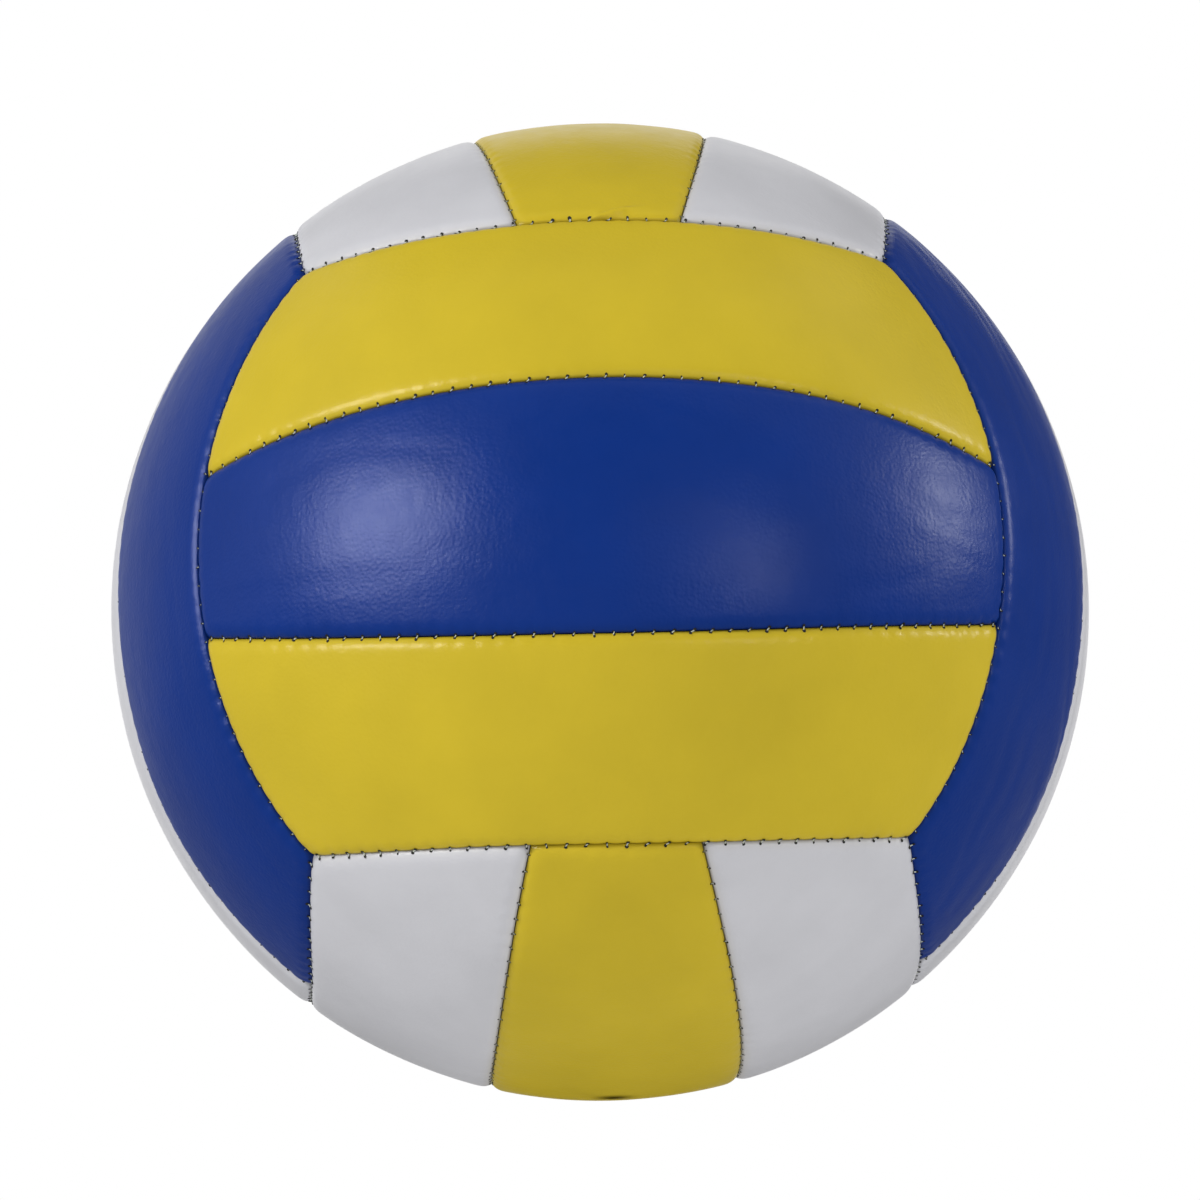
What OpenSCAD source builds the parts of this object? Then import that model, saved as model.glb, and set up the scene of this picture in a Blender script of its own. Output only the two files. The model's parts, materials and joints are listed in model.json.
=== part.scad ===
// Volleyball of eighteen sewn panels over a bladder, six faces of three strips each.
// The origin is the middle of the ball, +Z is up and the front face looks along -Y.

/* [Ball] */
// Diameter over the crowns of the panels
ball_d = 210; // [150:1:260]
// Angle from the middle of a face to the seams beside its middle strip, in degrees
strip_seam_angle = 14.5; // [12:0.5:17]
// Lean of the seams between two faces, in degrees
face_seam_lean = 10; // [7:0.5:12]

/* [Panels] */
// Thickness of the outer skin and of its turned-in edges
skin_t = 1; // [0.7:0.1:1.4]
// Thickness of the foam under the skin
foam_t = 2.6; // [2:0.1:4]
// Thickness of the cloth under the foam
cloth_t = 0.5; // [0.3:0.1:0.8]
// Space between two layers
layer_gap = 0.1; // [0.05:0.01:0.2]
// Space between the foam and the folded edge of the skin
edge_gap = 0.5; // [0.4:0.05:0.8]

/* [Seams] */
// Width of the rounded shoulder on each side of a seam
shoulder_w = 4; // [3:0.25:5]
// Depth of the groove between two shoulders
groove_depth = 1.8; // [1.2:0.1:2.2]
// Space between two sewn edges
seam_gap = 0.4; // [0.3:0.05:0.6]
// Diameter of the sewing thread
thread_d = 0.8; // [0.5:0.1:1]
// Space round the thread
thread_gap = 0.1; // [0.05:0.01:0.2]

/* [Bladder] */
// Thickness of the rubber wall
bladder_t = 1; // [0.6:0.1:2]
// Space between the cloth and the bladder
bladder_gap = 0.2; // [0.1:0.05:0.5]
// Diameter of the patch that is bonded inside, round the valve
patch_d = 32; // [26:1:40]
// Thickness of the patch
patch_t = 1.2; // [0.8:0.1:2]

/* [Valve] */
// Diameter of the valve head that shows in the panel
valve_d = 8.4; // [8:0.2:11]
// How far the head lies below the crown of the ball
valve_recess = 0.4; // [0.2:0.1:0.8]
// Diameter of the flange that holds the valve under the patch
flange_d = 18; // [14:0.5:22]
// Thickness of the flange
flange_t = 1.5; // [1:0.1:2.5]
// Diameter of the stem inside the bladder
stem_d = 7.6; // [7:0.1:9]
// Rubber of the stem below the plug
stem_floor = 4; // [2:0.5:8]
// Diameter of the air hole below the plug
air_hole_d = 2.4; // [1.5:0.1:3]
// Space round the valve head and the plug
valve_gap = 0.15; // [0.1:0.05:0.3]

/* [Plug] */
// Diameter of the sealing plug
plug_d = 4; // [3.8:0.1:4.6]
// Diameter of the plug's head
plug_head_d = 5.6; // [5.2:0.1:6.4]
// Thickness of the plug's head
plug_head_t = 1.4; // [1:0.1:2]
// Rubber of the plug below the needle's way
plug_floor = 2; // [1.5:0.1:3]
// Diameter of the pump needle that the plug takes
needle_d = 2; // [1.8:0.05:2.2]
// Length of the needle's way into the plug
needle_l = 14; // [12:0.5:15]
// Space round the needle
needle_gap = 0.1; // [0.06:0.01:0.2]
// Width and depth of the lead-in at the mouth of the needle's way
mouth_lead = 0.5; // [0.3:0.1:0.8]

/* [Hidden] */
$fn = 96;

// A face has its name, its turn from the top face, its turn over, the names of its strips
// from one side to the other, and the colours of its outer strips and its middle strip.
faces = [
  ["top", [0, 0, 0], 0, ["left", "middle", "right"], "white", "gold"],
  ["bottom", [0, 0, 0], 180, ["right", "middle", "left"], "white", "gold"],
  ["right", [90, 0, 90], 0, ["front", "middle", "back"], "mediumblue", "white"],
  ["left", [90, 0, 90], 180, ["back", "middle", "front"], "mediumblue", "white"],
  ["back", [-90, -90, 0], 0, ["lower", "middle", "upper"], "gold", "mediumblue"],
  ["front", [-90, -90, 0], 180, ["upper", "middle", "lower"], "gold", "mediumblue"],
];
strips = [-1, 0, 1];
sides = [-1, 1];
valve_face = faces[4];

function panel_name(f, k) = str(f[0], "_", f[3][k + 1]);
function panel_colour(f, k) = k == 0 ? f[5] : f[4];

ball_r = ball_d / 2;

// A seam is a circle on the ball. Its half angle is seen from the middle of the ball,
// round an axis that leans away from the middle of the face. Beside a middle strip it is
// a great circle, and between two faces it passes through three corners of a cube.
corner_share = 1 / sqrt(3);
quarter_turn = 90;
strip_half_angle = quarter_turn;
face_half_angle = acos(corner_share * (cos(face_seam_lean) - sin(face_seam_lean)));

// A shoulder is an arc that would be level at shoulder_w from the seam
shoulder_r = (shoulder_w * shoulder_w + groove_depth * groove_depth) / (2 * groove_depth);

// Cells of a skin's mesh between its shoulders, and the lines that draw a shoulder
count_along = 8;
count_across_middle = 4;
count_across_outer = 3;
shoulder_shares = [0, 0.3, 1];
shoulder_lines = len(shoulder_shares) - 1;
lines = [shoulder_lines, shoulder_lines];
corrections = 6;

// How far the middle of a mesh cell lies below the ball
cell_l = (2 * arc_length(end_angle(0)) - 2 * shoulder_w) / count_along;
cell_w = (2 * arc_length(strip_seam_angle) - 2 * shoulder_w) / count_across_middle;
cell_sag = (cell_l * cell_l + cell_w * cell_w) / (8 * ball_r);

// Radii of the layers, from the outside in
foam_top_r = ball_r - skin_t - layer_gap;
cloth_top_r = foam_top_r - foam_t - layer_gap;
panel_inner_r = cloth_top_r - cloth_t;
bladder_r = panel_inner_r - cell_sag - bladder_gap;
bladder_inner_r = bladder_r - bladder_t;
patch_r = bladder_inner_r - layer_gap;
patch_inner_r = patch_r - patch_t;
flange_r = patch_inner_r - layer_gap;
flange_inner_r = flange_r - flange_t;
reach = 2 * ball_r;

// The thread lies on the bladder, in the channel that the chamfered edges leave for it
thread_space_r = thread_d / 2 + thread_gap;
thread_r = bladder_r + thread_space_r;
thread_chamfer = thread_r + sqrt(2) * thread_space_r + cell_sag - panel_inner_r;

// How far a seam beside a middle strip, and one between two faces, runs to each side
strip_run = end_angle(strip_seam_angle);
face_run = asin(corner_share / sin(face_half_angle));

// Heights along the valve's axis
valve_top = ball_r - valve_recess;
plug_bottom = valve_top - needle_l - plug_floor;
valve_bottom = plug_bottom - valve_gap - stem_floor;

// Puts a piece that is made on the top face onto face f
module on_face(f) {
  rotate(f[1]) rotate([0, f[2], 0]) children();
}

// Turns what is made for the side towards +X or +Y to the side that is asked for
module to_side(side) {
  rotate([0, 0, side < 0 ? 2 * quarter_turn : 0]) children();
}

// Bring the Z axis to the axis of a seam beside the middle strip or along a long side
module on_strip_seam(side) {
  to_side(side) rotate([0, quarter_turn + strip_seam_angle, 0]) children();
}
module on_long_seam(side) {
  to_side(side) rotate([0, quarter_turn + face_seam_lean, 0]) children();
}

// A place on a strip is given by the angle round the Y axis and the angle along the strip.
// These are the angles at which the strip ends.
function arc_length(angle) = ball_r * angle * PI / 180;
function arc_angle(length) = length / ball_r * 180 / PI;
function end_angle(round_angle) =
  let (x = cos(round_angle) * cos(face_seam_lean), y = sin(face_seam_lean))
  acos(cos(face_half_angle) / norm([x, y])) - atan2(y, x);
function far_angle(k, along_angle) =
  k == 0 ? strip_seam_angle : face_seam_lean + asin(cos(face_half_angle) / cos(along_angle));
function count_across(k) = k == 0 ? count_across_middle : count_across_outer;
function near_angle(k) = k == 0 ? -strip_seam_angle : strip_seam_angle;

function across_angle(k, along) = far_angle(k, along) - near_angle(k);

function clamp(x, low, high) = min(max(x, low), high);

// Distance of mesh line i from the first seam. The cells lie between two shoulders, and
// the outermost line lies at edge from its seam.
function edge_step(i, edge) = edge + shoulder_shares[i] * (shoulder_w - edge);
function line_at(i, cells, width, edge) =
  i < shoulder_lines ? edge_step(i, edge)
  : i > cells + shoulder_lines ? width - edge_step(cells + 2 * shoulder_lines - i, edge)
  : shoulder_w + (width - 2 * shoulder_w) * (i - shoulder_lines) / cells;

// How far the skin drops at a distance from a seam
function drop(distance) = distance >= shoulder_w ? 0
  : shoulder_r - sqrt(shoulder_r * shoulder_r - pow(shoulder_w - distance, 2));

// Angles and seam distance of the place where mesh lines i and j cross, by repeated
// correction, because a strip's length changes across it and its width along it
function crossing(k, i, j, edge, round_angle, tries) =
  let (
    length_here = 2 * arc_length(end_angle(round_angle)),
    y = clamp(line_at(j, count_along, length_here, edge), edge, length_here - edge),
    along = arc_angle(y - length_here / 2),
    width_here = arc_length(across_angle(k, along)) * cos(along),
    x = clamp(line_at(i, count_across(k), width_here, edge), edge, width_here - edge),
    next = near_angle(k) + arc_angle(x) / cos(along)
  )
  tries == 0 ? [next, along, min(x, width_here - x, y, length_here - y)]
  : crossing(k, i, j, edge, next, tries - 1);
function place(k, p, edge) = crossing(k, p[0], p[1], edge, near_angle(k), corrections);
function direction(c) = [cos(c[1]) * sin(c[0]), sin(c[1]), cos(c[1]) * cos(c[0])];
function skin_point(k, p) =
  let (c = place(k, p, seam_gap / 2)) (ball_r - drop(c[2])) * direction(c);
function inner_point(k, p, edge, r) = r * direction(place(k, p, edge));

// Mesh places round the edge of a grid, and the index of one of them in that list
function rim(ci, cj) = concat(
  [for (i = [0:ci - 1]) [i, 0]], [for (j = [0:cj - 1]) [ci, j]],
  [for (i = [ci:-1:1]) [i, cj]], [for (j = [cj:-1:1]) [0, j]]
);
function rim_index(i, j, ci, cj) =
  j == 0 && i < ci ? i
  : i == ci && j < cj ? ci + j
  : j == cj && i > 0 ? 2 * ci + cj - i
  : 2 * ci + 2 * cj - j;

// Faces of a grid whose rows are row points long, and of a band between two closed lines
function grid_faces(first, ci, cj, row, up) = [
  for (j = [0:cj - 1]) for (i = [0:ci - 1])
    for (f = up ? [[0, row, row + 1], [0, row + 1, 1]] : [[0, row + 1, row], [0, 1, row + 1]])
      [for (q = f) first + q + j * row + i]
];
function band(a, b) = let (n = len(a)) [
  for (m = [0:n - 1]) let (q = (m + 1) % n)
    for (f = [[a[m], a[q], b[q]], [a[m], b[q], b[m]]])
      if (f[0] != f[1] && f[1] != f[2]) f
];

// Skin of a strip as a tray: rounded shoulders outside, and inside them a folded edge that
// is chamfered for the thread and stands round the foam
module tray(k) {
  ci = count_across(k);
  cj = count_along;
  oi = ci + 2 * shoulder_lines;
  oj = cj + 2 * shoulder_lines;
  outer_rim = rim(oi, oj);
  inner_rim = rim(ci, cj);
  n = len(outer_rim);
  ring = (oi + 1) * (oj + 1);
  foot = ring + 2 * n;
  ceiling = foot + len(inner_rim);
  points = concat(
    [for (j = [0:oj]) for (i = [0:oi]) skin_point(k, [i, j])],
    [for (p = outer_rim) inner_point(k, p, seam_gap / 2, panel_inner_r + thread_chamfer)],
    [for (p = outer_rim) inner_point(k, p, seam_gap / 2 + thread_chamfer, panel_inner_r)],
    [for (p = inner_rim) inner_point(k, p + lines, seam_gap / 2, panel_inner_r)],
    [for (j = [0:cj]) for (i = [0:ci])
      inner_point(k, [i, j] + lines, seam_gap / 2, ball_r - skin_t)]
  );
  fold = [for (p = outer_rim) foot + rim_index(
    clamp(p[0] - shoulder_lines, 0, ci), clamp(p[1] - shoulder_lines, 0, cj), ci, cj)];
  mesh = concat(
    grid_faces(0, oi, oj, oi + 1, true),
    band([for (p = outer_rim) p[1] * (oi + 1) + p[0]], [for (m = [0:n - 1]) ring + m]),
    band([for (m = [0:n - 1]) ring + m], [for (m = [0:n - 1]) ring + n + m]),
    band([for (m = [0:n - 1]) ring + n + m], fold),
    band([for (m = [0:len(inner_rim) - 1]) foot + m],
      [for (p = inner_rim) ceiling + p[1] * (ci + 1) + p[0]]),
    grid_faces(ceiling, ci, cj, ci + 1, false)
  );
  polyhedron(points, mesh);
}

// Even layer that fills the tray between two radii, clear of its folded edge
module layer(k, outer_r, inner_r) {
  ci = count_across(k);
  cj = count_along;
  edge = shoulder_w + edge_gap;
  bottom = (ci + 1) * (cj + 1);
  points = [for (r = [outer_r, inner_r]) for (j = [0:cj]) for (i = [0:ci])
    inner_point(k, [i, j] + lines, edge, r)];
  side = [for (p = rim(ci, cj)) p[1] * (ci + 1) + p[0]];
  polyhedron(points, concat(
    grid_faces(0, ci, cj, ci + 1, true),
    band(side, [for (q = side) q + bottom]),
    grid_faces(bottom, ci, cj, ci + 1, false)
  ));
}

// The hole that the valve's head passes through
module valve_way() {
  on_face(valve_face) cylinder(h = reach, r = valve_d / 2 + valve_gap);
}
module with_valve_way(f, k) {
  if (f == valve_face && k == 0)
    difference() {
      children();
      valve_way();
    }
  else children();
}

module cover(f, k) {
  color(panel_colour(f, k)) with_valve_way(f, k) on_face(f) to_side(k) tray(abs(k));
}

// Foam that fills the tray of the skin
module foam(f, k) {
  color("ivory") with_valve_way(f, k) on_face(f) to_side(k)
    layer(abs(k), foam_top_r, foam_top_r - foam_t);
}

// Cloth that is laminated under the foam, one layer for each strip
module cloth(f) {
  for (k = strips)
    color("linen") with_valve_way(f, k) on_face(f) to_side(k)
      layer(abs(k), cloth_top_r, cloth_top_r - cloth_t);
}

// Thread of the four seams that a face's long sides have
module thread_run(half_angle, run) {
  trim = asin(thread_d / (thread_r * sin(half_angle)));
  rotate([0, 0, 2 * quarter_turn - run + trim]) rotate_extrude(angle = 2 * (run - trim))
    rotate(quarter_turn - half_angle) translate([thread_r, 0]) circle(r = thread_d / 2);
}
module thread(f) {
  color("whitesmoke") on_face(f) for (side = sides) {
    on_strip_seam(side) thread_run(strip_half_angle, strip_run);
    on_long_seam(side) thread_run(face_half_angle, face_run);
  }
}

module bladder() {
  color("dimgray") difference() {
    sphere(r = bladder_r);
    sphere(r = bladder_inner_r);
    valve_way();
  }
}

// Part of a round layer that lies within a diameter d round the valve
module round_layer(outer_r, inner_r, d) {
  intersection() {
    difference() {
      sphere(r = outer_r);
      sphere(r = inner_r);
    }
    cylinder(h = reach, r = d / 2);
  }
}

module valve_patch() {
  color("gray") difference() {
    on_face(valve_face) round_layer(patch_r, patch_inner_r, patch_d);
    valve_way();
  }
}

module valve_housing() {
  color("black") on_face(valve_face) difference() {
    union() {
      translate([0, 0, flange_inner_r]) cylinder(h = valve_top - flange_inner_r, r = valve_d / 2);
      round_layer(flange_r, flange_inner_r, flange_d);
      translate([0, 0, valve_bottom]) cylinder(h = flange_r - valve_bottom, r = stem_d / 2);
    }
    translate([0, 0, plug_bottom - valve_gap]) cylinder(h = reach, r = plug_d / 2 + valve_gap);
    translate([0, 0, valve_top - plug_head_t - valve_gap])
      cylinder(h = reach, r = plug_head_d / 2 + valve_gap);
    cylinder(h = reach, r = air_hole_d / 2);
  }
}

module valve_plug() {
  needle_r = needle_d / 2 + needle_gap;
  color("darkslategray") on_face(valve_face) difference() {
    union() {
      translate([0, 0, plug_bottom]) cylinder(h = valve_top - plug_bottom, r = plug_d / 2);
      translate([0, 0, valve_top - plug_head_t]) cylinder(h = plug_head_t, r = plug_head_d / 2);
    }
    translate([0, 0, valve_top - needle_l]) cylinder(h = reach, r = needle_r);
    translate([0, 0, valve_top - mouth_lead])
      cylinder(h = 2 * mouth_lead, r1 = needle_r, r2 = needle_r + 2 * mouth_lead);
  }
}

for (f = faces) for (k = strips) {
  cover(f, k);
  foam(f, k);
}
for (f = faces) {
  cloth(f);
  thread(f);
}
bladder();
valve_patch();
valve_housing();
valve_plug();
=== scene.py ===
# A sewn volleyball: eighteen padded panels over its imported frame, with stitches, valve, light and camera.
import bpy
import json
import math
from mathutils import Euler, Matrix, Vector


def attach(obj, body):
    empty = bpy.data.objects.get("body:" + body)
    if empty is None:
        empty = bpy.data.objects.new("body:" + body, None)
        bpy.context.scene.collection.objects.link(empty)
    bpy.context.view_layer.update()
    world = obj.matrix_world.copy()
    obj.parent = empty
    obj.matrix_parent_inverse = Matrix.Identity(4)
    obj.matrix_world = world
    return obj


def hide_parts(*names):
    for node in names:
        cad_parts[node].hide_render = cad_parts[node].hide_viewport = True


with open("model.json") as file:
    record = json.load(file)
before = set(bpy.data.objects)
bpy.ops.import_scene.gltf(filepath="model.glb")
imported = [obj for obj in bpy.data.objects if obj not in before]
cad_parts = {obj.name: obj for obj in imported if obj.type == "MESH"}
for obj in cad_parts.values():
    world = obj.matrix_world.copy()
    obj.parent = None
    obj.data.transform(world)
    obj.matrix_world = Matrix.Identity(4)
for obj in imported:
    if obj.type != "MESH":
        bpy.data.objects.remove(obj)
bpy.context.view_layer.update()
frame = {"nodes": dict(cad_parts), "record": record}
print("frame loaded,", len(frame["nodes"]), "nodes")


# helpers for materials and for the stage
def emptyMaterial(name):
    material = bpy.data.materials.new(name)
    material.use_nodes = True
    nodes, links = material.node_tree.nodes, material.node_tree.links
    nodes.clear()
    return material, nodes, links, nodes.new("ShaderNodeOutputMaterial")


def reckoned(nodes, links, operation, first, second):
    # one sum on two sockets
    node = nodes.new("ShaderNodeMath")
    node.operation = operation
    links.new(first, node.inputs[0])
    links.new(second, node.inputs[1])
    return node.outputs[0]


def ranged(nodes, links, value, reach, outcome, interpolation="LINEAR"):
    # the value's reach, from low to high, spread over the outcome
    node = nodes.new("ShaderNodeMapRange")
    node.interpolation_type = interpolation
    for i, number in enumerate((*reach, *outcome)):
        node.inputs[i + 1].default_value = number
    links.new(value, node.inputs[0])
    return node.outputs[0]


def mixed(nodes, links, factor, first, second):
    # two colours, each a socket or a fixed one
    mix = nodes.new("ShaderNodeMix")
    mix.data_type = "RGBA"
    links.new(factor, mix.inputs[0])
    for socket, value in ((mix.inputs[6], first), (mix.inputs[7], second)):
        if isinstance(value, tuple):
            socket.default_value = (*value, 1)
        else:
            links.new(value, socket)
    return mix.outputs[2]


def chosen(nodes, links, factor, first, second):
    # the first shader where the factor is 0, the second where it is 1
    mix = nodes.new("ShaderNodeMixShader")
    for slot, value in zip(mix.inputs, (factor, first.outputs[0], second.outputs[0])):
        links.new(value, slot)
    return mix


def newSheet(name, width, height, level=0.0):
    # a level rectangle with its middle on the upright axis
    x, y = width / 2, height / 2
    corners = [(-x, -y, level), (x, -y, level), (x, y, level), (-x, y, level)]
    mesh = bpy.data.meshes.new(name)
    mesh.from_pydata(corners, [], [(0, 1, 2, 3)])
    sheet = bpy.data.objects.new(name, mesh)
    bpy.context.scene.collection.objects.link(sheet)
    return sheet


# camera and light
cameraSettings = {
    "lens": 149.97,
    "away": 1.0785,          # from the middle of the ball, metres
    "yaw": -0.9585,          # degrees round the ball
    "pitch": -11.7323,       # the camera looks up a little
    "roll": -1.6376,
    "shift": (0.0, 0.01),
    "sensorWidth": 36,
    "clip": (0.01, 50),
}


def makeCamera(s):
    yaw, pitch, roll = (math.radians(s[k]) for k in ("yaw", "pitch", "roll"))
    back = Vector((math.sin(yaw) * math.cos(pitch), -math.cos(yaw) * math.cos(pitch), math.sin(pitch)))
    right = Vector((math.cos(yaw), math.sin(yaw), 0))
    up = back.cross(right)
    turnedRight = math.cos(roll) * right + math.sin(roll) * up
    turnedUp = math.cos(roll) * up - math.sin(roll) * right
    data = bpy.data.cameras.new("camera")
    data.lens = s["lens"]
    data.sensor_width = s["sensorWidth"]
    data.shift_x, data.shift_y = s["shift"]
    data.clip_start, data.clip_end = s["clip"]
    camera = bpy.data.objects.new("camera", data)
    axes = Matrix((turnedRight, turnedUp, back)).transposed()
    camera.matrix_world = axes.to_4x4()
    camera.location = back * s["away"]
    bpy.context.scene.collection.objects.link(camera)
    bpy.context.scene.camera = camera
    return axes


cameraAxes = makeCamera(cameraSettings)

lightSettings = {
    "surround": 0.21,        # even light from all round
    "floorGlow": 0.65,       # light that the pale floor gives back to the ball
    "lampsAway": 1.3,
    "lamps": {
        # name: direction as the camera sees it (right, up, towards the camera), width, height, watts
        "softboxLeft": ((-0.78, 0.46, 0.43), 0.22, 0.22, 7.3),
        "softboxLeftBack": ((-0.60, 0.30, -0.74), 0.7, 0.7, 2.9),
        "softboxFront": ((0.40, 0.21, 0.89), 0.65, 0.65, 4.6),
        "softboxRight": ((0.90, 0.42, -0.12), 0.5, 1.2, 4.4),
        "softboxTop": ((0.45, 0.88, -0.10), 0.6, 0.6, 1.3),
    },
    "cards": {
        # name: direction as the camera sees it, metres away, width, height, brightness
        "shineLeft": ((-0.750, 0.310, 0.584), 2.0, 1.0, 0.65, 17.0),
        "shineFront": ((0.560, 0.115, 0.820), 2.0, 0.42, 0.34, 17.5),
        "shineRight": ((0.912, 0.300, 0.020), 2.0, 0.42, 0.46, 17.0),
        "flagLeft": ((-0.75, 0.15, -0.65), 2.6, 3.2, 3.2, 0.42),
        "flagRight": ((0.80, 0.20, -0.57), 2.6, 3.6, 3.6, 0.14),
        "flagTop": ((0.0, 0.90, -0.44), 2.6, 3.0, 2.4, 0.15),
        "flagFront": ((0.0, 0.0, 1.0), 2.6, 7.0, 6.0, 0.30),
    },
}


def makeLamps(s):
    for name, (direction, width, height, watts) in s["lamps"].items():
        data = bpy.data.lights.new(name, "AREA")
        data.shape = "RECTANGLE"
        data.size, data.size_y, data.energy = width, height, watts
        lamp = bpy.data.objects.new(name, data)
        lamp.location = cameraAxes @ Vector(direction).normalized() * s["lampsAway"]
        lamp.rotation_euler = (-lamp.location).to_track_quat("-Z", "Y").to_euler()
        lamp.visible_glossy = lamp.visible_camera = False
        bpy.context.scene.collection.objects.link(lamp)


def seenDirectly(nodes, links, path):
    # one for rays from the eye, in gloss and through glass
    seen = path.outputs["Is Camera Ray"]
    for other in ("Is Glossy Ray", "Is Transmission Ray"):
        seen = reckoned(nodes, links, "MAXIMUM", seen, path.outputs[other])
    return seen


def makeCards(s):
    # seen in gloss only: the bright ones give the soft highlights, and the dim flags
    # keep the white surround out of the gloss on the ball
    for name, (direction, away, width, height, brightness) in s["cards"].items():
        card = newSheet(name, width, height)
        card.location = cameraAxes @ Vector(direction).normalized() * away
        card.rotation_euler = card.location.to_track_quat("-Z", "Y").to_euler()
        for ray in ("camera", "diffuse", "transmission", "volume_scatter", "shadow"):
            setattr(card, "visible_" + ray, False)
        material, nodes, links, out = emptyMaterial(name)
        glow = nodes.new("ShaderNodeEmission")
        glow.inputs["Strength"].default_value = brightness
        links.new(glow.outputs[0], out.inputs["Surface"])
        card.data.materials.append(material)


def makeSurround(s):
    # white to the eye, in gloss and through glass, dimmer as a light
    world = bpy.data.worlds.new("surround")
    bpy.context.scene.world = world
    world.use_nodes = True
    nodes, links = world.node_tree.nodes, world.node_tree.links
    nodes.clear()
    path = nodes.new("ShaderNodeLightPath")
    light = nodes.new("ShaderNodeBackground")
    white = nodes.new("ShaderNodeBackground")
    for shader, strength in ((light, s["surround"]), (white, 1)):
        shader.inputs["Color"].default_value = (1, 1, 1, 1)
        shader.inputs["Strength"].default_value = strength
    out = nodes.new("ShaderNodeOutputWorld")
    byRay = chosen(nodes, links, seenDirectly(nodes, links, path), light, white)
    links.new(byRay.outputs[0], out.inputs["Surface"])


makeLamps(lightSettings)
makeCards(lightSettings)
makeSurround(lightSettings)
bpy.context.scene.view_settings.view_transform = "Standard"

floorSettings = {
    "width": 8.0,
    "below": 0.0002,         # under the ball
    "colour": (0.93, 0.93, 0.93),
    "inGloss": 0.45,         # how much of it shows in the gloss of the ball
    "paintedContactShadow": (0.28, 0.28, 0.28),   # painted shadow: the floor's darker colour close to the ball's foot, to the eye
    # metres from the foot: from where to where the glow rises, the painted contact shadow ends,
    # and the floor fades out to the white behind it
    "glowReach": (0.0, 0.006),
    "paintedShadowReach": (0.01, 0.075),
    "fadeReach": (0.16, 0.62),
}


def makeFloor(s, level):
    # the ball rests on it, and the low camera looks up through its underside
    z = level - s["below"]
    floor = newSheet("floor", s["width"], s["width"], z)
    material, nodes, links, out = emptyMaterial("paleFloor")
    path = nodes.new("ShaderNodeLightPath")
    geometry = nodes.new("ShaderNodeNewGeometry")
    where = nodes.new("ShaderNodeTexCoord")
    away = nodes.new("ShaderNodeVectorMath")
    away.operation = "DISTANCE"
    away.inputs[1].default_value = (0, 0, z)
    links.new(where.outputs["Object"], away.inputs[0])

    def byDistance(reach, first, last):
        return ranged(nodes, links, away.outputs["Value"], reach, (first, last), "SMOOTHSTEP")

    def toTheEye(share):
        return reckoned(nodes, links, "MULTIPLY", share, path.outputs["Is Camera Ray"])

    pale = nodes.new("ShaderNodeBsdfDiffuse")
    dull = tuple(c * s["inGloss"] for c in s["colour"])
    plain = mixed(nodes, links, path.outputs["Is Glossy Ray"], s["colour"], dull)
    # painted shadow: to the eye the floor darkens close to the ball's foot
    shade = toTheEye(byDistance(s["paintedShadowReach"], 1.0, 0.0))
    links.new(mixed(nodes, links, shade, plain, s["paintedContactShadow"]), pale.inputs["Color"])
    glow = nodes.new("ShaderNodeEmission")
    links.new(byDistance(s["glowReach"], 0.0, lightSettings["floorGlow"]), glow.inputs["Strength"])
    byRay = chosen(nodes, links, seenDirectly(nodes, links, path), glow, pale)
    clear = nodes.new("ShaderNodeBsdfTransparent")
    faded = toTheEye(byDistance(s["fadeReach"], 0.0, 1.0))
    gone = reckoned(nodes, links, "MAXIMUM", geometry.outputs["Backfacing"], faded)
    links.new(chosen(nodes, links, gone, byRay, clear).outputs[0], out.inputs["Surface"])
    floor.data.materials.append(material)


# the ball's layout
ball = {
    "radius": 0.105,
    "stripSeamAngle": 14.5,  # from the middle of a face to the seams beside its middle strip
    "lean": 10.0,            # of the seams between two faces
    "shoulder": 0.004,       # width of the rounded edge beside a seam
    "grooveDepth": 0.0011,
    "edgePower": 3.8,        # how late and steeply an edge rolls into its seam
    "seamGap": 0.0002,
    "footRadius": 0.1007,    # underside of a folded edge
    "skin": 0.001,
    "stripStitches": 47,     # in a seam beside a middle strip
    "faceStitches": 34,      # in a seam between two faces
}
# the circle of a seam between two faces passes through three corners of a cube
leanAngle = math.radians(ball["lean"])
halfAngle = math.degrees(math.acos((math.cos(leanAngle) - math.sin(leanAngle)) / math.sqrt(3)))
makeFloor(floorSettings, -ball["radius"])
print("camera, light and floor made")

# face: turn from the top face, turn over, its strips from one side to the other,
# skin of its outer strips, skin of its middle strip
faces = {
    "top": ((0, 0, 0), 0, ("left", "middle", "right"), "white", "yellow"),
    "bottom": ((0, 0, 0), 180, ("right", "middle", "left"), "white", "yellow"),
    "right": ((90, 0, 90), 0, ("front", "middle", "back"), "blue", "white"),
    "left": ((90, 0, 90), 180, ("back", "middle", "front"), "blue", "white"),
    "back": ((-90, -90, 0), 0, ("lower", "middle", "upper"), "yellow", "blue"),
    "front": ((-90, -90, 0), 180, ("upper", "middle", "lower"), "yellow", "blue"),
}

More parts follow.
